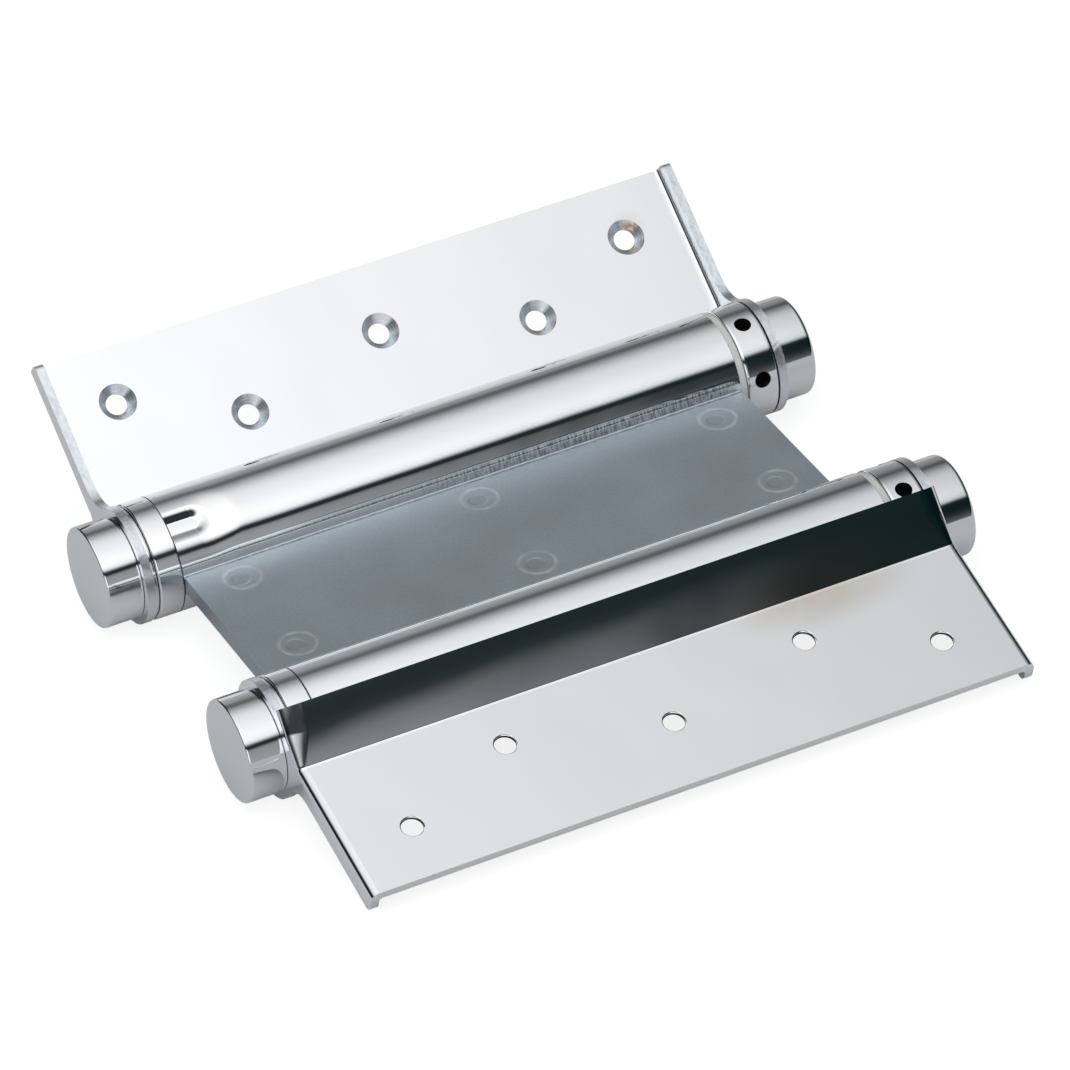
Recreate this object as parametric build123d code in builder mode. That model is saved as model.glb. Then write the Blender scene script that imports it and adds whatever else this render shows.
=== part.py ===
from build123d import *
from math import acos, atan2, cos, degrees, radians, sin, sqrt
import os

os.makedirs("parts", exist_ok=True)

# Double action cafe hinge, lying open, in millimetres
# The two barrels run along X, the web between them is level, and the origin is the web's centre
# Half A is the back one, and half B is half A turned by half a turn about the X axis

# Pose of the open hinge
leaf_a_rise_angle = 37.6
leaf_b_rise_angle = 17.8

# Barrels and web
axis_spacing = 70.4
barrel_radius = 12.8
web_sheet = 2.0
roll_seam = 0.3
web_end_gap = 0.2
web_bend_radius = 1.5

# Welds that join the two sheets of the web
weld_left_inset = 10.6
weld_right_inset = 9.2
weld_middle_shift = -1.5
weld_rows_off_axis = (24.1, 51.0)
weld_ring_radius = 4.3
weld_ring_width = 0.9
weld_ring_depth = 0.15

# Crimp that locks the spring anchor in the barrel
crimp_angle = 31.0
crimp_width = 5.2
crimp_length = 8.0
crimp_depth = 1.3
crimp_wall = 0.9
crimp_key_gap = 0.15

# Leaves, each one pressing
leaf_length = 152.4
leaf_sheet = 2.0
leaf_reach = 48.9
leaf_inside_drop = 5.9
flange_edge_drop = 2.3
flange_bend_radius = 1.9
flange_corner_radius = 1.5
ear_web_radius = 8.0
ear_apron_angle = 14.0
apron_foot_off_barrel = 2.2
apron_foot_radius = 1.0
apron_foot_angle = 46.6
apron_edge_angle = 28.6
apron_crown_radius = 41.4

# Screw holes in each leaf
screw_hole_radius = 2.35
countersink_radius = 4.15
countersink_angle = 90.0
outer_hole_inset = 15.2
inner_hole_inset = 41.7
outer_row = 36.5
middle_row = 33.5
inner_row = 25.3

# Turned pieces on the barrel axis
spindle_radius = 4.0
press_gap = 0.02
running_gap = 0.06
knob_step = 1.65
knob_length = 8.0
knob_edge = 0.3
knob_nose_radius = 0.9
knob_socket_depth = 5.6
anchor_flange = 5.58
tension_flange = 7.3
collar_edge = 0.3
side_gap = 0.1
ear_gap = 0.3
thrust_washer = 0.9
thrust_washer_step = 0.5
nylon_washer = 1.6
nylon_washer_step = 0.2
spigot_length = 11.0
spigot_gap = 0.08
spring_hub_length = 10.0

# Tommy bar holes in the tension collars
tommy_holes = 6
tommy_hole_radius = 1.75
tommy_hole_depth = 5.0
tommy_angle_a = 17.3
tommy_angle_b = 202.7

# Torsion springs of square wire
spring_wire = 2.5
spring_wall_gap = 0.7
spring_turns = 18
spring_end_gap = 0.4
spring_tang = 5.0
spring_bend_step = 0.05
tang_gap = 0.15

# Sizes across the barrel axis that follow
barrel_inner_radius = barrel_radius - web_sheet
ear_radius = barrel_radius
knob_radius = barrel_radius - knob_step
thrust_washer_radius = barrel_radius - thrust_washer_step
nylon_washer_radius = barrel_radius - nylon_washer_step
spigot_radius = barrel_inner_radius - spigot_gap
spring_outer_radius = barrel_inner_radius - spring_wall_gap
spring_radius = spring_outer_radius - spring_wire / 2
spring_hub_radius = spring_outer_radius - spring_wire - spring_wall_gap / 2
leaf_outside_drop = leaf_inside_drop + leaf_sheet
apron_foot = barrel_radius + apron_foot_off_barrel
crown_y = apron_foot - apron_crown_radius * sin(radians(apron_foot_angle))
crown_z = apron_crown_radius * cos(radians(apron_foot_angle)) - leaf_outside_drop

# Places along the barrel axis that follow, from the ears inwards
ear_outer_face = leaf_length / 2
ear_inner_face = ear_outer_face - leaf_sheet
knob_outer_face = ear_outer_face + knob_length
anchor_face = -ear_inner_face + thrust_washer + side_gap
barrel_left = anchor_face + anchor_flange + press_gap
collar_right = ear_inner_face - ear_gap
collar_left = collar_right - tension_flange
nylon_left = collar_left - side_gap - nylon_washer
barrel_right = nylon_left - side_gap
anchor_spigot_end = barrel_left + spigot_length
collar_spigot_end = collar_left - spigot_length
coil_start = anchor_spigot_end + spring_end_gap + spring_wire / 2
coil_end = collar_spigot_end - spring_end_gap - spring_wire / 2
weld_columns = (barrel_left + weld_left_inset, weld_middle_shift, barrel_right - weld_right_inset)

# Where each half and each leaf stands
half_a = Location((0, axis_spacing / 2, 0))
half_b = Location((0, 0, 0), (180, 0, 0)) * half_a
leaf_a_place = half_a * Location((0, 0, 0), (leaf_a_rise_angle, 0, 0))
leaf_b_place = half_b * Location((0, 0, 0), (leaf_b_rise_angle, 0, 0))


def around(radius, angle):
    """Point at a radius from the barrel axis, the angle counted from straight down towards the leaf."""
    return radius * sin(radians(angle)), -radius * cos(radians(angle))


def on_crown(depth, angle):
    """Point on the apron at a depth under its outside, the angle counted as its slope against the plate."""
    y, z = around(apron_crown_radius - depth, angle)
    return crown_y + y, crown_z + z


def turned(profile_points):
    """Solid turned about the barrel axis from points of distance along it and radius."""
    with BuildPart() as blank:
        with BuildSketch(Plane.XY):
            with BuildLine():
                Polyline(*profile_points, close=True)
            make_face()
        revolve(axis=Axis.X)
    return blank.part


def crimp_outline(plane, width):
    """Outline of the crimp, open at the barrel's left end, on a plane across its radius."""
    with BuildSketch(plane) as outline:
        straight = crimp_length - crimp_width / 2
        with Locations((straight / 2, 0)):
            Rectangle(straight, width)
        with Locations((straight, 0)):
            Circle(width / 2)
    return outline.sketch


def crimp_plane(radius):
    """Plane square to the crimp's radius, with its origin at the barrel's left end."""
    across, up = -sin(radians(crimp_angle)), cos(radians(crimp_angle))
    return Plane(origin=(barrel_left, radius * across, radius * up), x_dir=(1, 0, 0), z_dir=(0, across, up))


def make_barrel():
    """Sheet rolled into a barrel, with its flat tail running to the other barrel."""
    tail_end = -(axis_spacing - barrel_radius - web_end_gap)
    tail_root = -(barrel_inner_radius + web_sheet / 2)
    barrel_length = barrel_right - barrel_left
    bump_floor = barrel_radius - crimp_depth - web_sheet
    bump = crimp_outline(crimp_plane(bump_floor), crimp_width + 2 * crimp_wall)
    dent = crimp_outline(crimp_plane(barrel_radius - crimp_depth), crimp_width)
    with BuildPart() as barrel:
        with BuildSketch(Plane.YZ.offset(barrel_left)) as profile:
            Circle(barrel_radius)
            Circle(barrel_inner_radius, mode=Mode.SUBTRACT)
            with Locations(((tail_end + tail_root) / 2, -web_sheet / 2)):
                Rectangle(tail_root - tail_end, web_sheet)
            with Locations((tail_root, roll_seam / 2)):
                Rectangle(2 * web_sheet, roll_seam, mode=Mode.SUBTRACT)
            root = (-sqrt(barrel_radius ** 2 - web_sheet ** 2), -web_sheet)
            fillet(profile.vertices().sort_by_distance(root)[0], web_bend_radius)
        extrude(amount=barrel_length)
        extrude(bump, amount=web_sheet)
        extrude(dent, amount=2 * crimp_depth, mode=Mode.SUBTRACT)
        with BuildSketch(Plane.XY.offset(-web_sheet)):
            with Locations(*[(x, -y) for x in weld_columns for y in weld_rows_off_axis]):
                Circle(weld_ring_radius)
                Circle(weld_ring_radius - weld_ring_width, mode=Mode.SUBTRACT)
        extrude(amount=weld_ring_depth, mode=Mode.SUBTRACT)
    return barrel.part


def make_leaf():
    """One pressing: plate, two flanges with ears, and the apron that slopes up over the barrel."""
    inside_radius = apron_crown_radius - leaf_sheet
    inside_angle = degrees(acos((crown_z + leaf_inside_drop) / inside_radius))
    crown_sweep = apron_foot_angle - apron_edge_angle
    web_z = ear_web_radius - flange_edge_drop
    web_y = sqrt((ear_radius + ear_web_radius) ** 2 - web_z ** 2)
    web_angle = degrees(atan2(web_z, web_y))
    ear_sweep = web_angle + 90 - ear_apron_angle - 360
    with BuildPart() as leaf:
        with BuildSketch(Plane.YZ.offset(-ear_outer_face)) as profile:
            with BuildLine():
                Line((leaf_reach, -leaf_outside_drop), (apron_foot, -leaf_outside_drop))
                CenterArc((crown_y, crown_z), apron_crown_radius, apron_foot_angle - 90, -crown_sweep)
                Line(on_crown(0, apron_edge_angle), on_crown(leaf_sheet, apron_edge_angle))
                CenterArc((crown_y, crown_z), inside_radius, apron_edge_angle - 90, inside_angle - apron_edge_angle)
                Line(on_crown(leaf_sheet, inside_angle), (leaf_reach, -leaf_inside_drop))
                Line((leaf_reach, -leaf_inside_drop), (leaf_reach, -leaf_outside_drop))
            make_face()
            inside_bend = profile.vertices().sort_by_distance(on_crown(leaf_sheet, inside_angle))[0]
            fillet(inside_bend, apron_foot_radius + leaf_sheet)
            outside_bend = profile.vertices().sort_by_distance((apron_foot, -leaf_outside_drop))[0]
            fillet(outside_bend, apron_foot_radius)
        extrude(amount=leaf_length)
        for face_x in (-ear_outer_face, ear_inner_face):
            with BuildSketch(Plane.YZ.offset(face_x)) as flange:
                with BuildLine():
                    Line((leaf_reach, -flange_edge_drop), (leaf_reach, -leaf_outside_drop))
                    Line((leaf_reach, -leaf_outside_drop), (apron_foot, -leaf_outside_drop))
                    CenterArc((crown_y, crown_z), apron_crown_radius, apron_foot_angle - 90, -crown_sweep)
                    Line(on_crown(0, apron_edge_angle), around(ear_radius, ear_apron_angle))
                    CenterArc((0, 0), ear_radius, ear_apron_angle - 90, ear_sweep)
                    CenterArc((web_y, web_z), ear_web_radius, 180 + web_angle, 90 - web_angle)
                    Line((web_y, -flange_edge_drop), (leaf_reach, -flange_edge_drop))
                make_face()
                foot = flange.vertices().sort_by_distance((apron_foot, -leaf_outside_drop))[0]
                fillet(foot, apron_foot_radius)
            extrude(amount=leaf_sheet)
            with BuildSketch(Plane.YZ.offset(face_x)):
                Circle(spindle_radius + press_gap)
            extrude(amount=leaf_sheet, mode=Mode.SUBTRACT)
        corners = leaf.edges().filter_by(Axis.X).group_by(Axis.Y)[-1].group_by(Axis.Z)[-1]
        fillet(corners, flange_corner_radius)
        bends = [e for e in leaf.edges() if is_bend(e)]
        fillet(bends, flange_bend_radius)
        inside = Plane(origin=(0, 0, -leaf_inside_drop), z_dir=(0, 0, 1))
        with Locations(inside):
            with Locations(*screw_places()):
                CounterSinkHole(screw_hole_radius, countersink_radius, 2 * leaf_sheet, countersink_angle)
    return leaf.part


def screw_places():
    """Screw hole centres on the leaf: two in the outer row, one in the middle and two in the inner row."""
    outer = [(side * (ear_outer_face - outer_hole_inset), outer_row) for side in (-1, 1)]
    inner = [(side * (ear_outer_face - inner_hole_inset), inner_row) for side in (-1, 1)]
    return outer + [(0, middle_row)] + inner


def is_bend(edge):
    """True for an outer edge where the ear's outer face turns into the plate or the apron."""
    middle = edge @ 0.5
    on_ear_face = abs(abs(middle.X) - ear_outer_face) < 0.001 and abs((edge @ 0).X - (edge @ 1).X) < 0.001
    on_plate = abs(middle.Z + leaf_outside_drop) < 0.001 and abs((edge @ 0).Z - (edge @ 1).Z) < 0.001
    off_crown_axis = sqrt((middle.Y - crown_y) ** 2 + (middle.Z - crown_z) ** 2)
    on_apron = abs(off_crown_axis - apron_crown_radius) < 0.001
    off_foot = sqrt((middle.Y - apron_foot) ** 2 + (middle.Z + leaf_outside_drop) ** 2)
    return on_ear_face and (on_plate or on_apron or off_foot < apron_foot_radius)


def tang_block(face_x, direction, gap):
    """Square block that runs from a spigot's end face along a spring tang, with a gap about it."""
    depth = spring_tang + gap
    size = spring_wire + 2 * gap
    with BuildPart() as block:
        with Locations((face_x + direction * depth / 2, 0, spring_radius)):
            Box(depth, size, size)
    return block.part


def make_anchor():
    """Spring anchor: a collar and a spigot crimped in the barrel's left end."""
    bore = spindle_radius + running_gap
    blank = turned([
        (anchor_face, bore), (anchor_face, barrel_radius - collar_edge), (anchor_face + collar_edge, barrel_radius),
        (barrel_left - press_gap - collar_edge, barrel_radius), (barrel_left - press_gap, barrel_radius - collar_edge),
        (barrel_left - press_gap, spigot_radius), (anchor_spigot_end, spigot_radius),
        (anchor_spigot_end, spring_hub_radius), (anchor_spigot_end + spring_hub_length, spring_hub_radius),
        (anchor_spigot_end + spring_hub_length, bore),
    ])
    key_floor = barrel_radius - crimp_depth - web_sheet - crimp_key_gap
    keyway = crimp_outline(crimp_plane(key_floor), crimp_width + 2 * (crimp_wall + crimp_key_gap))
    with BuildPart() as anchor:
        add(blank)
        extrude(keyway, amount=2 * web_sheet, mode=Mode.SUBTRACT)
        add(tang_block(anchor_spigot_end, -1, tang_gap), mode=Mode.SUBTRACT)
    return anchor.part


def make_tension_collar(phase):
    """Tension collar: a collar with tommy bar holes and a spigot that turns in the barrel."""
    bore = spindle_radius + running_gap
    blank = turned([
        (collar_right, bore), (collar_right, barrel_radius - collar_edge), (collar_right - collar_edge, barrel_radius),
        (collar_left + collar_edge, barrel_radius), (collar_left, barrel_radius - collar_edge),
        (collar_left, spigot_radius), (collar_spigot_end, spigot_radius),
        (collar_spigot_end, spring_hub_radius), (collar_spigot_end - spring_hub_length, spring_hub_radius),
        (collar_spigot_end - spring_hub_length, bore),
    ])
    with BuildPart() as collar:
        add(blank)
        add(tang_block(collar_spigot_end, 1, tang_gap), mode=Mode.SUBTRACT)
        for number in range(tommy_holes):
            angle = phase + number * 360 / tommy_holes
            across, up = -sin(radians(angle)), cos(radians(angle))
            middle = (collar_left + collar_right) / 2
            mouth = Plane(origin=(middle, barrel_radius * across, barrel_radius * up), x_dir=(1, 0, 0), z_dir=(0, across, up))
            with BuildSketch(mouth):
                Circle(tommy_hole_radius)
            extrude(amount=-tommy_hole_depth, mode=Mode.SUBTRACT)
    return collar.part


def make_spring():
    """Torsion spring of square wire, coiled left-handed, with a straight tang at each end."""
    coil_length = coil_end - coil_start
    bend_length = spring_end_gap + spring_wire
    with BuildPart() as spring:
        with BuildLine() as path:
            Helix(coil_length / spring_turns, coil_length, spring_radius, (coil_start, 0, 0), (1, 0, 0))
        with BuildSketch(Plane(origin=path.line @ 0, z_dir=path.line % 0)):
            Rectangle(spring_wire, spring_wire)
        sweep(path=path.line, is_frenet=True)
        add(tang_block(anchor_spigot_end, -1, 0))
        add(tang_block(collar_spigot_end, 1, 0))
        for bend_x in (coil_start - spring_end_gap / 2, coil_end + spring_end_gap / 2):
            with Locations((bend_x, 0, spring_radius)):
                Box(bend_length, spring_wire, spring_wire - 2 * spring_bend_step)
    return mirror(spring.part, about=Plane.XZ)


def make_spindle():
    """Spindle that runs through both ears, the anchor, the spring and the tension collar."""
    reach = ear_outer_face + knob_socket_depth
    return turned([
        (-reach, 0), (-reach, spindle_radius - knob_edge), (-reach + knob_edge, spindle_radius),
        (reach - knob_edge, spindle_radius), (reach, spindle_radius - knob_edge), (reach, 0),
    ])


def make_knob(side, nose_radius):
    """End knob, a cap with a blind socket on the spindle's end."""
    inner = ear_outer_face + press_gap
    socket = ear_outer_face + knob_socket_depth + press_gap
    bore = spindle_radius + press_gap
    with BuildPart() as knob:
        with BuildSketch(Plane.YZ.offset(side * inner)):
            Circle(knob_radius)
        extrude(amount=side * (knob_outer_face - inner))
        rim = knob.faces().sort_by(Axis.X)[-1 if side > 0 else 0].edges()
        fillet(rim, nose_radius)
        with BuildSketch(Plane.YZ.offset(side * inner)):
            Circle(bore)
        extrude(amount=side * (socket - inner), mode=Mode.SUBTRACT)
    return knob.part


def make_ring(low, high, inner, outer):
    """Plain washer on the barrel axis."""
    return turned([(low, inner), (low, outer), (high, outer), (high, inner)])


def place_and_write(solid, place, label):
    """Stand a piece in the hinge under its own name and write it."""
    with BuildPart() as piece:
        add(solid.moved(place))
    piece.part.label = label
    export_step(piece.part, "parts/" + label + ".step")


halves = (("a", half_a, leaf_a_place, tommy_angle_a), ("b", half_b, leaf_b_place, tommy_angle_b))
for name, half, leaf_place, tommy_angle in halves:
    place_and_write(make_barrel(), half, "web_barrel_" + name)
    place_and_write(make_anchor(), half, "spring_anchor_" + name)
    place_and_write(make_tension_collar(tommy_angle), half, "tension_collar_" + name)
    place_and_write(make_spring(), half, "torsion_spring_" + name)
    nylon = make_ring(nylon_left, nylon_left + nylon_washer, barrel_inner_radius, nylon_washer_radius)
    place_and_write(nylon, half, "nylon_washer_" + name)
    thrust = make_ring(-ear_inner_face, -ear_inner_face + thrust_washer, spindle_radius + running_gap, thrust_washer_radius)
    place_and_write(thrust, leaf_place, "thrust_washer_" + name)
    place_and_write(make_leaf(), leaf_place, "leaf_" + name)
    place_and_write(make_spindle(), leaf_place, "spindle_" + name)
    place_and_write(make_knob(-1, knob_edge), leaf_place, "left_knob_" + name)
    place_and_write(make_knob(1, knob_nose_radius), leaf_place, "right_knob_" + name)
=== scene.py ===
import math
import bmesh
import bpy
from mathutils import Matrix, Vector


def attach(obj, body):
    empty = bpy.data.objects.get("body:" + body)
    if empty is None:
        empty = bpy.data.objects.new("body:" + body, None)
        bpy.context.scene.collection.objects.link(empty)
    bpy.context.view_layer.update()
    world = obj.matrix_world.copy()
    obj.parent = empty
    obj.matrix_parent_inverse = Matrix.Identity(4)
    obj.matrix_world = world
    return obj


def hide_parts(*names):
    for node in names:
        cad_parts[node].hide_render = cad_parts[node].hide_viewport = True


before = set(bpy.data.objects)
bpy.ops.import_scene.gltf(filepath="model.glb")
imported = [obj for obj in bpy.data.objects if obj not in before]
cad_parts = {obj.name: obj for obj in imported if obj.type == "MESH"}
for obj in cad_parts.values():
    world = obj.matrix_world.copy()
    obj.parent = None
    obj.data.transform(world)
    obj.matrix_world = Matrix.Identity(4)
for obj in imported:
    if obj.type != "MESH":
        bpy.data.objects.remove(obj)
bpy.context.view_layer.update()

# Sizes in millimetres
AXIS_SPACING = 70.4
RISE_A = 37.6
RISE_B = 17.8
BARREL_R = 12.8
SHEET = 2.0
BARREL_LEFT = -67.6
BARREL_RIGHT = 64.8
WEB_GAP = 0.2
ROOT_BEND_R = 1.5
SEAM_HALF = 0.3
EAR_OUT = 76.2
EAR_IN = EAR_OUT - SHEET
LEAF_REACH = 48.9
PLATE_Z = -7.9
EDGE_DROP = 2.3
EAR_CURVE_R = 8.0
FLANGE_CORNER_R = 1.5
EAR_APRON = 14.0
SCREWS = [(-61.0, 36.5), (61.0, 36.5), (0.0, 33.5), (-34.5, 25.3), (34.5, 25.3)]
SCREW_HOLE_R = 2.35
SINK_R = 4.15
WELDS = [(x, y) for x in (-57.0, -1.5, 55.6) for y in (15.8, -11.1)]
WELD_R = 3.95
BORE_R = 4.06
KNOB_R = 11.15
KNOB_SEAT = EAR_OUT + 0.02
KNOB_BORE_END = 81.82
KNOB_END = 84.2
COLLAR_LEFT = 66.6
COLLAR_RIGHT = 73.9
COLLAR_SPIGOT_R = 10.7
COLLAR_SPIGOT_END = 55.6
TOMMY_HOLES = 6
TOMMY_HOLE_R = 1.75
TOMMY_HOLE_DEPTH = 5.0

# The apron, flatter than in the CAD between the same two edges, and the bends of the flanges
FOOT_Y = 15.0
FOOT_R = 1.0
FOOT_ANGLE = 40.07
CROWN_R = 150.0
APRON_EDGE = 35.13
BEND_R = 1.9
BEND_GROWTH = 1.2
BEND_SPREAD = 3.0
INNER_BEND_R = 0.9

# The crimp, at an angle from the barrel's top towards the web, and the soft dent round it
CRIMP_ANGLE = 31.0
CRIMP_LENGTH = 5.6
CRIMP_FLOOR = 1.5
CRIMP_WALL = 2.4
CRIMP_DEPTH = 1.42
DENT_REACH = 9.5
DENT_DEPTH = 0.30

HALF_A = Matrix.Translation((0, AXIS_SPACING / 2, 0))
HALF_B = Matrix.Rotation(math.pi, 4, "X") @ HALF_A
LEAF_A = HALF_A @ Matrix.Rotation(math.radians(RISE_A), 4, "X")
LEAF_B = HALF_B @ Matrix.Rotation(math.radians(RISE_B), 4, "X")


# Shader nodes

class Sock:
    """A shader value, so that sums are written as sums."""

    def __init__(self, tree, socket):
        self.tree = tree
        self.socket = socket

    def math(self, operation, *values):
        return make_math(self.tree, operation, self, *values)

    def __add__(self, other):
        return self.math("ADD", other)

    def __radd__(self, other):
        return self.math("ADD", other)

    def __sub__(self, other):
        return self.math("SUBTRACT", other)

    def __rsub__(self, other):
        return make_math(self.tree, "SUBTRACT", other, self)

    def __mul__(self, other):
        return self.math("MULTIPLY", other)

    def __rmul__(self, other):
        return self.math("MULTIPLY", other)

    def __neg__(self):
        return self.math("MULTIPLY", -1.0)


def fill(tree, target, value):
    """Give a socket a value or a link."""
    if isinstance(value, Sock):
        tree.links.new(value.socket, target)
    else:
        target.default_value = value


def make_node(tree, kind, inputs, settings=None, output=0):
    """Add a node: its settings or a ramp's stops, then its sockets by name or number. Gives one output."""
    node = tree.nodes.new(kind)
    for name, value in (settings or {}).items():
        if name == "stops":
            fill_ramp(node.color_ramp, value)
        else:
            setattr(node, name, value)
    for name, value in inputs.items():
        fill(tree, node.inputs[name], value)
    return Sock(tree, node.outputs[output]) if node.outputs else None


def fill_ramp(ramp, stops):
    """Set a ramp's stops, each a place and a grey."""
    while len(ramp.elements) < len(stops):
        ramp.elements.new(0.5)
    for element, (place, grey) in zip(ramp.elements, stops):
        element.position = place
        element.color = (grey, grey, grey, 1)


def make_math(tree, operation, *values):
    """Add a Math node."""
    return make_node(tree, "ShaderNodeMath", dict(enumerate(values)), {"operation": operation})


def rgba(colour):
    """A colour for a socket, from three values or a link."""
    return colour if isinstance(colour, Sock) else (*colour, 1)


def split(tree, vector):
    """The three values of a vector."""
    first = make_node(tree, "ShaderNodeSeparateXYZ", {0: vector})
    return [Sock(tree, one) for one in first.socket.node.outputs]


def combine(tree, x, y, z):
    """A vector of three values."""
    return make_node(tree, "ShaderNodeCombineXYZ", {0: x, 1: y, 2: z})


def noise(tree, vector, scale, detail, roughness=0.5):
    """Noise about a half."""
    return make_node(tree, "ShaderNodeTexNoise",
                     {"Vector": vector, "Scale": scale, "Detail": detail, "Roughness": roughness})


def ease(tree, value, low, high, start=0.0, end=1.0):
    """Smooth step of a value between two places."""
    return make_node(tree, "ShaderNodeMapRange",
                     {"Value": value, "From Min": low, "From Max": high, "To Min": start, "To Max": end},
                     {"interpolation_type": "SMOOTHSTEP"})


def blend(tree, share, low, high):
    """Colour between two colours."""
    return make_node(tree, "ShaderNodeMix", {0: share, 6: rgba(low), 7: rgba(high)}, {"data_type": "RGBA"}, 2)


def distance(dx, dy):
    """Length of two legs."""
    return (dx * dx + dy * dy).math("SQRT")


def rings(tree, x, y, places, radius, width):
    """One on the rings about places, and zero beside them."""
    offs = [(distance(x - px, y - py) - radius).math("ABSOLUTE") for px, py in places]
    return sum(ease(tree, off, 0.0, width, 1.0, 0.0) for off in offs)


def discs(tree, x, y, places, radius, width):
    """One inside the discs about places, and zero outside them."""
    offs = [distance(x - px, y - py) for px, py in places]
    return sum(ease(tree, off, radius - width, radius, 1.0, 0.0) for off in offs)


def stain(tree, x, y, centre, reach):
    """Soft spot of one at its centre and zero at its rim."""
    return ease(tree, distance((x - centre[0]) * (1 / reach[0]), (y - centre[1]) * (1 / reach[1])), 1.0, 0.15)


def in_leaf(place, y, z):
    """Place on a leaf, from the hinge's own coordinates."""
    back = place.inverted()
    return y * back[1][1] + z * back[1][2] + back[1][3], y * back[2][1] + z * back[2][2] + back[2][3]


# Materials, in Object coordinates made millimetres

def new_material(name):
    """A material with its tree and its shader."""
    material = bpy.data.materials.new(name)
    material.use_nodes = True
    tree = material.node_tree
    shader = next(n for n in tree.nodes if n.type == "BSDF_PRINCIPLED")
    return material, tree, shader


def plated(name, colour, rough, wave=0.02, wave_scale=0.06, detail=None):
    """Bright plated steel: a mirror with slow waves, a little uneven haze, and details of its own."""
    material, tree, shader = new_material(name)
    place = make_node(tree, "ShaderNodeTexCoord", {}, output="Object")
    x, y, z = [one * 1000.0 for one in split(tree, place)]
    where = combine(tree, x, y, z)
    haze = noise(tree, where, 0.05, 2.0)
    height = noise(tree, where, wave_scale, 1.0) * wave
    tone = colour
    if detail:
        tone, relief = detail(tree, x, y, z, colour)
        if relief is not None:
            height = height + relief
    shader.inputs["Metallic"].default_value = 1.0
    fill(tree, shader.inputs["Base Color"], rgba(tone))
    fill(tree, shader.inputs["Roughness"], haze * (0.5 * rough) + 0.75 * rough)
    normal = make_node(tree, "ShaderNodeBump", {"Height": height, "Strength": 1.0, "Distance": 0.001})
    fill(tree, shader.inputs["Normal"], normal)
    return material


def make_nylon():
    """Off-white nylon."""
    material, tree, shader = new_material("nylon")
    fill(tree, shader.inputs["Base Color"], (0.82, 0.82, 0.80, 1))
    fill(tree, shader.inputs["Roughness"], 0.45)
    return material


def web_detail(tree, x, y, z, colour):
    """Six resistance welds on either face of the web, and a fine mottle."""
    face_y = y * z.math("SIGN")
    welds = rings(tree, x, face_y, WELDS, WELD_R, 0.8)
    dimples = discs(tree, x, face_y, [(px - 0.7, py - 0.3) for px, py in WELDS], 2.4, 0.9)
    worn = ease(tree, noise(tree, combine(tree, x, face_y, 0.0), 0.35, 1.0), 0.35, 0.65, 0.45, 1.0)
    mottle = ease(tree, noise(tree, combine(tree, x, y, z), 1.6, 3.0, 0.7), 0.3, 0.7)
    base = blend(tree, mottle, tuple(0.955 * c for c in colour), tuple(1.045 * c for c in colour))
    tone = blend(tree, welds * worn * 0.75, base, (0.95, 0.98, 1.0))
    tone = blend(tree, dimples * 0.2, tone, tuple(0.6 * c for c in colour))
    return tone, welds * worn * 0.06 - dimples * 0.09 + mottle * 0.003


def barrel_painted_reflection(tree, x, y, z, colour):
    """Painted shade and painted reflection where the barrel's sheet comes down beside the other half's web
    end: a darker band with bright streaks standing for that sheared end mirrored in the barrel, and a faint
    bump from the same streaks.
    """
    in_y = y.math("ABSOLUTE") - AXIS_SPACING / 2
    height = z * y.math("SIGN")
    low = ease(tree, in_y, -8.0, -9.0) * ease(tree, height, 2.0, 2.5) * ease(tree, height, 5.2, 4.9)
    run = ease(tree, x, -30.0, 14.0, 0.3, 1.0) * ease(tree, x, 64.5, 61.0)
    painted_streaks = ease(tree, noise(tree, combine(tree, x, height * 0.16, 0.0), 1.7, 2.0, 0.75), 0.40, 0.60)
    painted_streaks = painted_streaks * ease(tree, height, 4.6, 4.1, 0.2, 1.0)
    # Painted shade: a darker strip along the band's upper edge.
    painted_shade_patch = low * ease(tree, height, 4.0, 4.3) * ease(tree, x, -52.0, -30.0)
    tone = blend(tree, painted_shade_patch * 0.75, colour, (0.25, 0.27, 0.29))
    # Painted shade: the band beside the other half's web end made darker.
    tone = blend(tree, low * run * 0.8, tone, (0.22, 0.24, 0.27))
    # Painted reflection: bright streaks for the other half's sheared web end mirrored in the barrel.
    tone = blend(tree, low * run * painted_streaks * 0.75, tone, (0.92, 0.94, 0.97))
    return tone, low * run * painted_streaks * 0.006


def plate_a_detail(tree, x, y, z, colour):
    """A faint brown halo by the rust spot."""
    halo = stain(tree, x, in_leaf(LEAF_A, y, z)[0], (62.6, 39.0), (5.0, 4.2))
    return blend(tree, halo * 0.55, colour, (0.80, 0.72, 0.60)), None


def plate_b_detail(tree, x, y, z, colour):
    """A faint warm tint along the plate's upper edge."""
    leaf_y = in_leaf(LEAF_B, y, z)[0]
    spot = stain(tree, x, leaf_y, (43.0, 15.5), (27.0, 10.5))
    patch = ease(tree, noise(tree, combine(tree, x, leaf_y, 0.0), 0.12, 2.0), 0.2, 0.6, 0.7, 1.0)
    return blend(tree, spot * patch * 0.85, colour, (0.73, 0.665, 0.585)), None


def turned_rings(tree, leaf_z):
    """Fine rings down a countersink."""
    return noise(tree, combine(tree, leaf_z, 0.0, 0.0), 4.5, 2.0, 0.6) * 0.05


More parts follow.
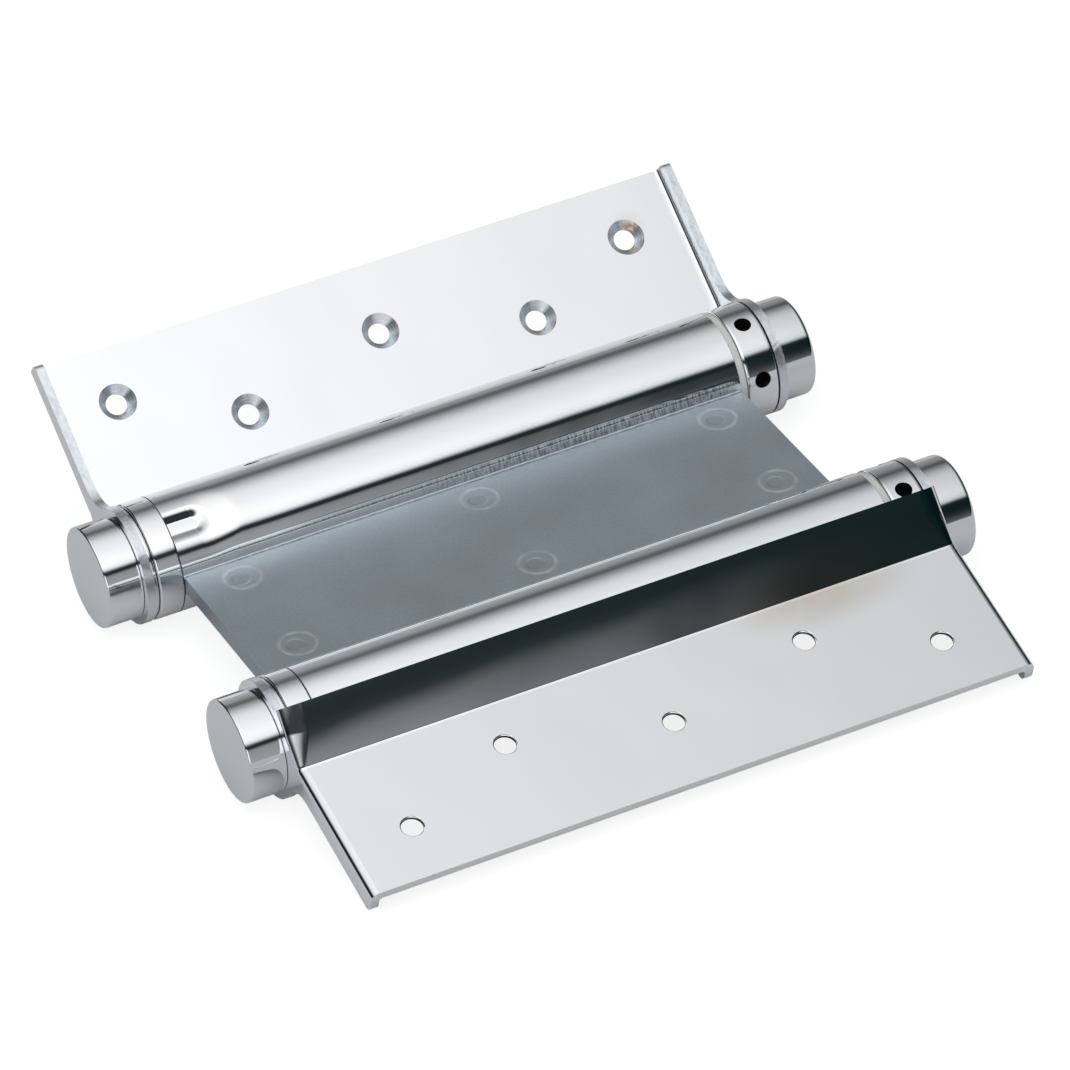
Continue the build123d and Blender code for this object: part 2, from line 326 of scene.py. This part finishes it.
def sink_a_detail(tree, x, y, z, colour):
    """Turned rings, and a rust spot in the far right countersink."""
    leaf_y, leaf_z = in_leaf(LEAF_A, y, z)
    spot = stain(tree, x, leaf_y, (63.0, 38.6), (3.1, 2.7))
    patch = ease(tree, noise(tree, combine(tree, x, leaf_y, leaf_z), 1.1, 3.0, 0.6), 0.42, 0.58, 0.3, 1.0)
    tone = blend(tree, spot * patch, colour, (0.42, 0.30, 0.18))
    return tone, turned_rings(tree, leaf_z) + spot * patch * 0.02


def sink_b_detail(tree, x, y, z, colour):
    """Turned rings."""
    return colour, turned_rings(tree, in_leaf(LEAF_B, y, z)[1])


# Meshes

def mark_sharp(bm, sharp):
    """Smooth shading, broken at edges that turn by more than an angle."""
    for face in bm.faces:
        face.smooth = True
    for edge in bm.edges:
        edge.smooth = len(edge.link_faces) == 2 and edge.calc_face_angle(0.0) < math.radians(sharp)


def finish_mesh(bm, node, body, place, materials, pick=None, sharp=26.0):
    """Stand the mesh in the hinge, give its faces their materials and say what it stands for."""
    bmesh.ops.remove_doubles(bm, verts=bm.verts, dist=0.0005)
    bmesh.ops.recalc_face_normals(bm, faces=bm.faces)
    bm.normal_update()
    if pick:
        for face in bm.faces:
            face.material_index = pick(face)
    bm.transform(Matrix.Scale(0.001, 4) @ place)
    mark_sharp(bm, sharp)
    mesh = bpy.data.meshes.new(node + "_fine")
    bm.to_mesh(mesh)
    bm.free()
    for material in materials:
        mesh.materials.append(material)
    piece = bpy.data.objects.new(node + "_fine", mesh)
    bpy.context.scene.collection.objects.link(piece)
    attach(piece, body)
    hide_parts(node)
    flats = piece.modifiers.new("flats", "WEIGHTED_NORMAL")
    flats.keep_sharp = True
    flats.weight = 90


def rounded(points, radii):
    """Points of a closed outline with its corners rounded by the given radii."""
    steps = 5
    made = []
    for i, radius in enumerate(radii):
        here = Vector(points[i])
        if radius == 0:
            made.append(tuple(here))
            continue
        before = (Vector(points[i - 1]) - here).normalized()
        after = (Vector(points[(i + 1) % len(points)]) - here).normalized()
        half = before.angle(after) / 2
        centre = here + (before + after).normalized() * (radius / math.sin(half))
        start = here + before * (radius / math.tan(half)) - centre
        end = here + after * (radius / math.tan(half)) - centre
        turn = start.angle_signed(end)
        made += [tuple(centre + Matrix.Rotation(-turn * k / steps, 2) @ start) for k in range(steps + 1)]
    return made


def arc(centre, radius, start, sweep, steps):
    """Points on an arc, the angle in degrees from +Y towards +Z."""
    angles = [math.radians(start + sweep * k / steps) for k in range(steps + 1)]
    return [(centre[0] + radius * math.cos(angle), centre[1] + radius * math.sin(angle)) for angle in angles]


def revolve(points, radii, axis, steps):
    """Solid of revolution from a closed outline and its points' radii. An edge on the axis is left out."""
    bm = bmesh.new()
    verts = [bm.verts.new(point) for point in points]
    pairs = [(verts[i - 1], verts[i]) for i in range(len(verts)) if radii[i - 1] + radii[i] > 0]
    edges = [bm.edges.new(pair) for pair in pairs]
    bmesh.ops.spin(bm, geom=verts + edges, cent=(0, 0, 0), axis=axis, angle=2 * math.pi, steps=steps,
                   use_merge=True, use_duplicate=False)
    bmesh.ops.remove_doubles(bm, verts=bm.verts, dist=0.0005)
    return bm


def lathe(outline):
    """Turned piece about X from a closed outline of distance along it and radius."""
    return revolve([(x, 0, r) for x, r in outline], [r for x, r in outline], (1, 0, 0), 160)


def drill(outline, steps, place):
    """Cutter about Z from an outline of height above its mouth and radius, stood at its place."""
    bm = revolve([(r, 0, height) for height, r in outline], [r for height, r in outline], (0, 0, 1), steps)
    bm.transform(place)
    return bm


def stretch(outline, xs):
    """Closed outline of Y and Z stretched along X through the given places, with its ends filled."""
    bm = bmesh.new()
    verts = [bm.verts.new((xs[0], y, z)) for y, z in outline]
    edges = [bm.edges.new((verts[i - 1], verts[i])) for i in range(len(verts))]
    bmesh.ops.edgeloop_fill(bm, edges=edges)
    for low, high in zip(xs, xs[1:]):
        grown = bmesh.ops.extrude_edge_only(bm, edges=edges)["geom"]
        verts = [one for one in grown if isinstance(one, bmesh.types.BMVert)]
        edges = [one for one in grown if isinstance(one, bmesh.types.BMEdge) and one.is_boundary]
        bmesh.ops.translate(bm, verts=verts, vec=(high - low, 0, 0))
    bmesh.ops.edgeloop_fill(bm, edges=edges)
    return bm


def cut(bm, cutters):
    """The same mesh with closed cutters taken away."""
    whole = bmesh.new()
    for cutter in cutters:
        mesh = bpy.data.meshes.new("cutter")
        bmesh.ops.recalc_face_normals(cutter, faces=cutter.faces)
        cutter.to_mesh(mesh)
        cutter.free()
        whole.from_mesh(mesh)
        bpy.data.meshes.remove(mesh)
    bmesh.ops.remove_doubles(bm, verts=bm.verts, dist=0.0005)
    bmesh.ops.recalc_face_normals(bm, faces=bm.faces)
    blank, tool = [bpy.data.objects.new(name, bpy.data.meshes.new(name)) for name in ("blank", "tool")]
    for thing, form in ((blank, bm), (tool, whole)):
        form.to_mesh(thing.data)
        form.free()
        bpy.context.scene.collection.objects.link(thing)
    modifier = blank.modifiers.new("cut", "BOOLEAN")
    modifier.object = tool
    modifier.operation = "DIFFERENCE"
    modifier.solver = "EXACT"
    result = bpy.data.meshes.new_from_object(blank.evaluated_get(bpy.context.evaluated_depsgraph_get()))
    left = bmesh.new()
    left.from_mesh(result)
    bpy.data.meshes.remove(result)
    for thing in (blank, tool):
        mesh = thing.data
        bpy.data.objects.remove(thing)
        bpy.data.meshes.remove(mesh)
    return left


# Barrel and web

def press_crimp(bm):
    """Press the crimp, a short groove open at the barrel's left end, and the dent round it."""
    for vert in bm.verts:
        x, y, z = vert.co
        radius = math.hypot(y, z)
        across = (math.atan2(-y, z) - math.radians(CRIMP_ANGLE)) * BARREL_R
        along = x - (BARREL_LEFT + CRIMP_LENGTH)
        off = math.hypot(across, max(along, 0)) - CRIMP_FLOOR
        wall = min(max(1 - off / CRIMP_WALL, 0), 1)
        wall = 0.75 * wall + 0.25 * wall * wall * (3 - 2 * wall)
        dent = min(max(1 - off / DENT_REACH, 0), 1)
        depth = CRIMP_DEPTH * wall + DENT_DEPTH * dent ** 3 * (10 - 15 * dent + 6 * dent * dent)
        vert.co = (x, y * (1 - depth / radius), z * (1 - depth / radius))


def build_barrel(node, half, materials):
    """Sheet rolled into a barrel with its flat tail, which crosses to the other half."""
    tail_end = -(AXIS_SPACING - BARREL_R - WEB_GAP)
    tail_round = 0.7
    tail_nick = 0.25
    inner_r = BARREL_R - SHEET
    root_y = -math.sqrt((BARREL_R + ROOT_BEND_R) ** 2 - (SHEET + ROOT_BEND_R) ** 2)
    root_angle = math.degrees(math.atan2(-(SHEET + ROOT_BEND_R), root_y)) % 360
    seam_out = math.degrees(math.asin(SEAM_HALF / BARREL_R))
    seam_in = math.degrees(math.asin(SEAM_HALF / inner_r))
    crimp = 360 + 90 + CRIMP_ANGLE
    fine_from, fine_to = crimp - 36, crimp + 36
    outline = [(tail_end + tail_nick, -SHEET), (root_y, -SHEET)]
    outline += arc((root_y, -SHEET - ROOT_BEND_R), ROOT_BEND_R, 90, root_angle - 270, 6)[1:]
    outline += arc((0, 0), BARREL_R, root_angle, fine_from - root_angle, 130)[1:]
    outline += arc((0, 0), BARREL_R, fine_from, fine_to - fine_from, 96)[1:]
    outline += arc((0, 0), BARREL_R, fine_to, 540 - seam_out - fine_to, 12)[1:]
    outline += arc((0, 0), inner_r, 180 - seam_in, seam_in - 360, 120)
    outline += arc((tail_end + tail_round, -tail_round), tail_round, 90, 90, 6)
    outline += [(tail_end, -SHEET + tail_nick)]
    xs = [BARREL_LEFT + 0.16 * k for k in range(66)] + [BARREL_LEFT + 10.6 + 0.5 * k for k in range(24)]
    xs += [-40, -20, 0, 20, 40, BARREL_RIGHT - 0.25, BARREL_RIGHT]
    bm = stretch(outline, xs)
    press_crimp(bm)

    def pick(face):
        """Sheared ends, the tail's rounded end, the satin web and the rolled barrel."""
        centre = face.calc_center_median()
        if abs(face.normal.x) > 0.99:
            return 2
        if centre.y < tail_end + tail_round:
            return 3
        return 1 if centre.y < root_y + 1.0 and centre.z < 0.1 else 0

    finish_mesh(bm, node, "web", half, materials, pick, 55.0)


# Leaf

def build_leaf(node, place, land, materials):
    """One pressing: plate, foot and apron, and a flange with its ear at each end."""
    crown_y = FOOT_Y - CROWN_R * math.sin(math.radians(FOOT_ANGLE))
    crown_z = PLATE_Z + CROWN_R * math.cos(math.radians(FOOT_ANGLE))
    foot_z = PLATE_Z - FOOT_R
    foot_y = crown_y + math.sqrt((CROWN_R + FOOT_R) ** 2 - (crown_z - foot_z) ** 2)
    slope = math.degrees(math.atan2(foot_y - crown_y, crown_z - foot_z))
    foot = arc((foot_y, foot_z), FOOT_R, 90, slope, 14)
    crown = arc((crown_y, crown_z), CROWN_R, slope - 90, APRON_EDGE - slope, 40)[1:]
    outer = [(LEAF_REACH, PLATE_Z)] + foot + crown
    normals = [(0.0, -1.0)] + [((foot_y - y) / FOOT_R, (foot_z - z) / FOOT_R) for y, z in foot]
    normals += [((y - crown_y) / CROWN_R, (z - crown_z) / CROWN_R) for y, z in crown]
    shares = [0.0] * (1 + len(foot)) + [(k + 1) / len(crown) for k in range(len(crown))]
    turns = [math.pi / 2 * k / 10 for k in range(11)]
    bends = [(-1, phi) for phi in reversed(turns)] + [(1, phi) for phi in turns]
    bm = bmesh.new()

    def sunk(x, depth, i):
        """Corner below the outer face at a point of its outline."""
        (y, z), (n, m) = outer[i], normals[i]
        return bm.verts.new((x, y - depth * n, z - depth * m))

    columns, inside = [], []
    for side, phi in bends:
        column = []
        for i, share in enumerate(shares):
            reach = BEND_R + BEND_SPREAD * min(share / 0.55, 1.0)
            drop = (BEND_R + BEND_GROWTH * share) * (1 - math.cos(phi))
            column.append(sunk(side * (EAR_OUT - reach * (1 - math.sin(phi))), drop, i))
        columns.append(column)
        inner_x = side * (EAR_IN - INNER_BEND_R * (1 - math.sin(phi)))
        rise = SHEET + INNER_BEND_R * (1 - math.cos(phi))
        inside.append([sunk(inner_x, rise, i) for i in range(len(outer))])
    for skin in (columns, inside):
        for low, high in zip(skin, skin[1:]):
            for i in range(len(outer) - 1):
                bm.faces.new((low[i], low[i + 1], high[i + 1], high[i]))
    curve_z = EAR_CURVE_R - EDGE_DROP
    curve_y = math.sqrt((BARREL_R + EAR_CURVE_R) ** 2 - curve_z ** 2)
    curve_angle = math.degrees(math.atan2(curve_z, curve_y))
    free = arc((LEAF_REACH - FLANGE_CORNER_R, -EDGE_DROP - FLANGE_CORNER_R), FLANGE_CORNER_R, 0, 90, 6)
    free += arc((curve_y, curve_z), EAR_CURVE_R, 270, curve_angle - 90, 16)
    free += arc((0, 0), BARREL_R, curve_angle, 270 + EAR_APRON - curve_angle, 120)[1:]
    for side, column, inner_row in ((-1, columns[0], inside[0]), (1, columns[-1], inside[-1])):
        outer_free = [bm.verts.new((side * EAR_OUT, y, z)) for y, z in free]
        inner_free = [bm.verts.new((side * EAR_IN, y, z)) for y, z in free]
        bm.faces.new(outer_free + list(reversed(column)))
        bm.faces.new(inner_free + list(reversed(inner_row)))
        for i in range(len(free) - 1):
            bm.faces.new((outer_free[i], outer_free[i + 1], inner_free[i + 1], inner_free[i]))
        for i in (0, -1):
            bm.faces.new((column[i], outer_free[i], inner_free[i], inner_row[i]))
    for i in (0, -1):
        bm.faces.new([column[i] for column in columns] + [row[i] for row in reversed(inside)])

    hole = [(-3.0, 0), (-3.0, 2.6), (-2.03, 2.6), (-1.9, 2.42), (-1.8, SCREW_HOLE_R),
            (land - SHEET, SCREW_HOLE_R), (0.0, SINK_R), (0.12, SINK_R + 0.15),
            (1.5, SINK_R + 0.15), (1.5, 0)]
    inner_face = PLATE_Z + SHEET
    cutters = [drill(hole, 64, Matrix.Translation((x, y, inner_face))) for x, y in SCREWS]

    def pick(face):
        """Sheared edges and the flanges' inner faces, then the holes, their cones and the plated rest."""
        centre = face.calc_center_median()
        ends = [abs(vert.co.x) for vert in face.verts]
        near = any(math.hypot(centre.x - x, centre.y - y) < SINK_R + 0.2 for x, y in SCREWS)
        if near and PLATE_Z + 0.22 < centre.z < inner_face - 0.001:
            # Slot 2, the holes' straight walls, is near-black painted shade on leaf b.
            return 2 if centre.z < PLATE_Z + land - 0.001 else 1
        edge = min(ends) < EAR_IN + 0.01 and max(ends) > EAR_OUT - 0.01 and len(ends) == 4
        return 3 if edge or max(abs(end - EAR_IN) for end in ends) < 0.01 else 0

    finish_mesh(cut(bm, cutters), node, node, place, materials, pick)


# Turned pieces

def build_tension_collar(node, half, phase, materials):
    """Tension collar with its ring of blind tommy bar holes."""
    rim = [(COLLAR_RIGHT - 0.7 - 0.59 * k, BARREL_R) for k in range(11)]
    corners = [(COLLAR_RIGHT, BORE_R), (COLLAR_RIGHT, BARREL_R), *rim, (COLLAR_LEFT, BARREL_R),
               (COLLAR_LEFT, COLLAR_SPIGOT_R), (COLLAR_SPIGOT_END, COLLAR_SPIGOT_R),
               (COLLAR_SPIGOT_END, BORE_R)]
    outline = rounded(corners, [0, 0.25] + [0] * len(rim) + [0.35, 0, 0.3, 0])
    hole = [(-TOMMY_HOLE_DEPTH, 0), (-TOMMY_HOLE_DEPTH, TOMMY_HOLE_R), (-0.35, TOMMY_HOLE_R),
            (0.15, TOMMY_HOLE_R + 0.2), (2.0, TOMMY_HOLE_R + 0.2), (2.0, 0)]
    mouth = Matrix.Translation(((COLLAR_LEFT + COLLAR_RIGHT) / 2, 0, BARREL_R))
    turns = [math.radians(phase + 360 / TOMMY_HOLES * k) for k in range(TOMMY_HOLES)]
    cutters = [drill(hole, 48, Matrix.Rotation(turn, 4, "X") @ mouth) for turn in turns]

    def pick(face):
        """The holes' walls take the second material, a near-black painted shade."""
        centre = face.calc_center_median()
        in_rim = COLLAR_LEFT + 1 < centre.x < COLLAR_RIGHT - 1
        return 1 if in_rim and 7.0 < math.hypot(centre.y, centre.z) < BARREL_R - 0.3 else 0

    finish_mesh(cut(lathe(outline), cutters), node, node, half, materials, pick)


def build_spring_anchor(node, half, materials):
    """Spring anchor: a flange against the barrel's end and a spigot inside the crimp."""
    left, right, end, spigot_r = -73.2, BARREL_LEFT - 0.02, -56.6, 9.0
    outline = rounded([(left, BORE_R), (end, BORE_R), (end, spigot_r), (right, spigot_r), (right, BARREL_R),
                       (left, BARREL_R)], [0, 0, 0, 0, 0.4, 0.4])
    finish_mesh(lathe(outline), node, "web", half, materials)


def build_washer(node, body, place, span, inner_r, outer_r, materials):
    """Flat ring with its outer edges rounded."""
    outline = rounded([(span[0], inner_r), (span[1], inner_r), (span[1], outer_r), (span[0], outer_r)],
                      [0, 0, 0.2, 0.2])
    finish_mesh(lathe(outline), node, body, place, materials)


def build_knob(node, body, place, side, edge_r, materials):
    """Turned knob on a spindle's end: bright round its side, with a duller face."""
    bore_r = BORE_R - 0.04
    corners = [(KNOB_SEAT, bore_r), (KNOB_BORE_END, bore_r), (KNOB_BORE_END, 0), (KNOB_END, 0),
               (KNOB_END, KNOB_R), (KNOB_SEAT, KNOB_R)]
    outline = rounded(corners, [0, 0, 0, 0, edge_r, 0.3])
    bm = lathe([(side * x, r) for x, r in outline])
    finish_mesh(bm, node, body, place, materials, lambda face: int(abs(face.normal.x) > 0.95))


bright = plated("bright", (0.90, 0.91, 0.93), 0.04, 0.05, 0.05)
# The rolled barrel's colour carries painted shade and a painted reflection beside the other half's web end.
rolled = plated("rolled", (0.90, 0.91, 0.93), 0.025, 0.05, 0.05, barrel_painted_reflection)
satin = plated("satin", (0.61, 0.68, 0.745), 0.44, 0.05, 0.03, web_detail)
turned = plated("turned", (0.83, 0.85, 0.86), 0.05, 0.03, 0.05)
faced = plated("faced", (0.83, 0.85, 0.86), 0.11, 0.03, 0.05)
shear = plated("shear", (0.79, 0.82, 0.86), 0.30, 0.09, 0.6)
sheared = plated("sheared", (0.36, 0.40, 0.445), 0.38, 0.05, 0.5)
# Near-black painted shade for the inside walls of holes: the collar's tommy bar holes and leaf b's screw
# holes.
painted_hole_shade = plated("painted_hole_shade", (0.10, 0.10, 0.11), 0.45)
steel = plated("steel", (0.35, 0.36, 0.38), 0.35)
nylon = make_nylon()
plate_a = plated("plate_a", (0.885, 0.885, 0.91), 0.055, 0.10, 0.035, plate_a_detail)
plate_b = plated("plate_b", (0.90, 0.905, 0.93), 0.055, 0.10, 0.035, plate_b_detail)
sink_a = plated("sink_a", (0.74, 0.78, 0.83), 0.22, 0.03, 0.05, sink_a_detail)
sink_b = plated("sink_b", (0.74, 0.78, 0.83), 0.22, 0.03, 0.05, sink_b_detail)

# Each half: its place and its leaf's, how deep its screw holes run straight, its leaf's materials and
# its collar's turn in degrees
HALVES = {
    "a": (HALF_A, LEAF_A, 0.25, (plate_a, sink_a, sink_a, shear), 17.3),
    # Leaf b's straight screw hole walls take the near-black painted shade.
    "b": (HALF_B, LEAF_B, 0.80, (plate_b, sink_b, painted_hole_shade, shear), 202.7),
}

for name, (half, leaf_place, land, leaf_materials, phase) in HALVES.items():
    leaf = "leaf_" + name
    build_barrel("web_barrel_" + name, half, (rolled, satin, sheared, shear))
    build_leaf(leaf, leaf_place, land, leaf_materials)
    # The collar's tommy bar hole walls take the near-black painted shade.
    build_tension_collar("tension_collar_" + name, half, phase, (bright, painted_hole_shade))
    build_spring_anchor("spring_anchor_" + name, half, (bright,))
    build_washer("nylon_washer_" + name, "web", half, (64.9, 66.5), 10.8, 12.6, (nylon,))
    build_washer("thrust_washer_" + name, leaf, leaf_place, (-74.2, -73.3), BORE_R, 12.3, (turned,))
    build_knob("left_knob_" + name, leaf, leaf_place, -1, 0.45, (turned, faced))
    build_knob("right_knob_" + name, leaf, leaf_place, 1, 1.1, (turned, faced))
    for hidden in ("torsion_spring_", "spindle_"):
        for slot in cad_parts[hidden + name].material_slots:
            slot.material = steel


# Floor of white paper, a little brighter to the camera than to the light on the hinge

floor_bm = bmesh.new()
bmesh.ops.create_grid(floor_bm, x_segments=1, y_segments=1, size=3.0)
floor_mesh = bpy.data.meshes.new("floor")
floor_bm.to_mesh(floor_mesh)
floor_bm.free()
floor_mesh.transform(Matrix.Translation((0, 0, -0.01285)))
floor = bpy.data.objects.new("floor", floor_mesh)
bpy.context.scene.collection.objects.link(floor)
paper = bpy.data.materials.new("paper")
paper.use_nodes = True
tree = paper.node_tree
tree.nodes.clear()
matt = make_node(tree, "ShaderNodeBsdfDiffuse", {"Color": (0.80, 0.80, 0.81, 1)})
faint = make_node(tree, "ShaderNodeBsdfDiffuse", {"Color": (0.35, 0.35, 0.355, 1)})
lift = make_node(tree, "ShaderNodeEmission", {"Color": (1, 1, 1, 1), "Strength": 0.84})
backdrop = make_node(tree, "ShaderNodeAddShader", {0: faint, 1: lift})
seen = make_node(tree, "ShaderNodeLightPath", {}, output="Is Camera Ray")
mirrored = make_node(tree, "ShaderNodeLightPath", {}, output="Is Glossy Ray")
surface = make_node(tree, "ShaderNodeMixShader", {0: seen + mirrored * 0.05, 1: matt, 2: backdrop})
make_node(tree, "ShaderNodeOutputMaterial", {"Surface": surface})
floor_mesh.materials.append(paper)

# Studio light: a soft box overhead, darker low at the back, and a dark room behind the camera.
# Each list runs from behind the hinge over its top to the front, as degrees from straight up and a grey.

OVERHEAD = [
    (-180, 0.55), (-95, 0.45), (-78, 0.36), (-64, 0.26), (-56, 0.13), (-50, 0.115), (-44, 0.24), (-36, 0.41),
    (-28, 0.59), (-20, 0.73), (-12, 0.80), (-4, 0.84), (4, 0.88), (12, 0.93), (20, 0.97), (30, 1.0),
    (38, 0.97), (44, 0.84), (47.5, 0.50), (51, 0.05),
]
FAR_LEFT = [
    (-180, 0.55), (-100, 0.45), (-88, 0.05), (-80, 0.02), (-48, 0.02), (-38, 0.2), (-30, 0.55), (-12, 0.80),
    (30, 1.0), (40, 0.9), (47, 0.35), (50, 0.03), (56, 0.03), (58.5, 0.75), (74, 0.90), (95, 0.6),
    (180, 0.55),
]
LEFT = OVERHEAD + [
    (53.5, 0.015), (57.5, 0.02), (60.5, 0.19), (64.5, 0.27), (74, 0.29), (90, 0.34), (100, 0.45), (180, 0.55),
]
RIGHT = OVERHEAD + [
    (54, 0.012), (63, 0.008), (70, 0.010), (76, 0.022), (82, 0.05), (90, 0.12), (100, 0.45), (180, 0.55),
]
# Sideways part of the direction that the barrels, whose axes lie along X, mirror to the camera
MIRRORED_SIDE = 0.339

world = bpy.data.worlds.new("studio")
bpy.context.scene.world = world
world.use_nodes = True
tree = world.node_tree
tree.nodes.clear()
across, back, up = split(tree, make_node(tree, "ShaderNodeTexCoord", {}, output="Generated"))
off_side = across - MIRRORED_SIDE
lean = off_side.math("MAXIMUM", -0.06).math("MINIMUM", 0.06) * 0.15
turn = make_math(tree, "ARCTAN2", -back, up) * (1 / (2 * math.pi)) + 0.5 + lean
greys = []
for room in (FAR_LEFT, LEFT, RIGHT):
    stops = [(0.5 + angle / 360, grey) for angle, grey in room]
    greys.append(make_node(tree, "ShaderNodeValToRGB", {"Fac": turn}, {"stops": stops}))
near = ease(tree, across, 0.0, 0.24)
share = ease(tree, across, 0.30, 0.38)
fade = (1.0 - off_side * 3.4).math("MAXIMUM", 0.45).math("MINIMUM", 1.3)
ends = ease(tree, across, -0.96, -0.66, 0.03, 1.0) * ease(tree, across, 0.6, 0.85, 1.0, 0.12)
light = greys[0] * (1.0 - near) + greys[1] * near * (1.0 - share) + greys[2] * share
light = light * fade * ends
tinted = combine(tree, light * 0.985, light * 0.992 + 0.008, light + 0.008)
sky = make_node(tree, "ShaderNodeBackground", {"Color": tinted, "Strength": 1.0})
white = make_node(tree, "ShaderNodeBackground", {"Color": (1, 1, 1, 1), "Strength": 1.0})
seen = make_node(tree, "ShaderNodeLightPath", {}, output="Is Camera Ray")
surround = make_node(tree, "ShaderNodeMixShader", {0: seen, 1: sky, 2: white})
make_node(tree, "ShaderNodeOutputWorld", {"Surface": surround})

# Camera at the photo's angle, from a fit to the hinge's corners

AZIMUTH, ELEVATION, ROLL = math.radians(-24.5701), math.radians(35.3484), math.radians(-3.8305)
DISTANCE, FOCAL_PIXELS, PHOTO_PIXELS = 1.60529, 7625.7, 1070
SHIFT_X, SHIFT_Y = -14.4995, 5.9649
level = Vector((math.cos(AZIMUTH), math.sin(AZIMUTH), 0))
flat_back = Vector((math.sin(AZIMUTH), -math.cos(AZIMUTH), 0))
back = math.cos(ELEVATION) * flat_back + math.sin(ELEVATION) * Vector((0, 0, 1))
upright = back.cross(level)
right = math.cos(ROLL) * level + math.sin(ROLL) * upright
up = -math.sin(ROLL) * level + math.cos(ROLL) * upright
stand = DISTANCE * back + (SHIFT_Y * up - SHIFT_X * right) * (DISTANCE / FOCAL_PIXELS)
camera = bpy.data.objects.new("camera", bpy.data.cameras.new("camera"))
bpy.context.scene.collection.objects.link(camera)
camera.matrix_world = Matrix.Translation(stand) @ Matrix((right, up, back)).transposed().to_4x4()
camera.data.sensor_width = 36.0
camera.data.lens = FOCAL_PIXELS / PHOTO_PIXELS * camera.data.sensor_width
camera.data.clip_start = 0.1
camera.data.clip_end = 20.0
bpy.context.scene.camera = camera

bpy.context.scene.render.engine = "CYCLES"
bpy.context.scene.view_settings.view_transform = "Standard"
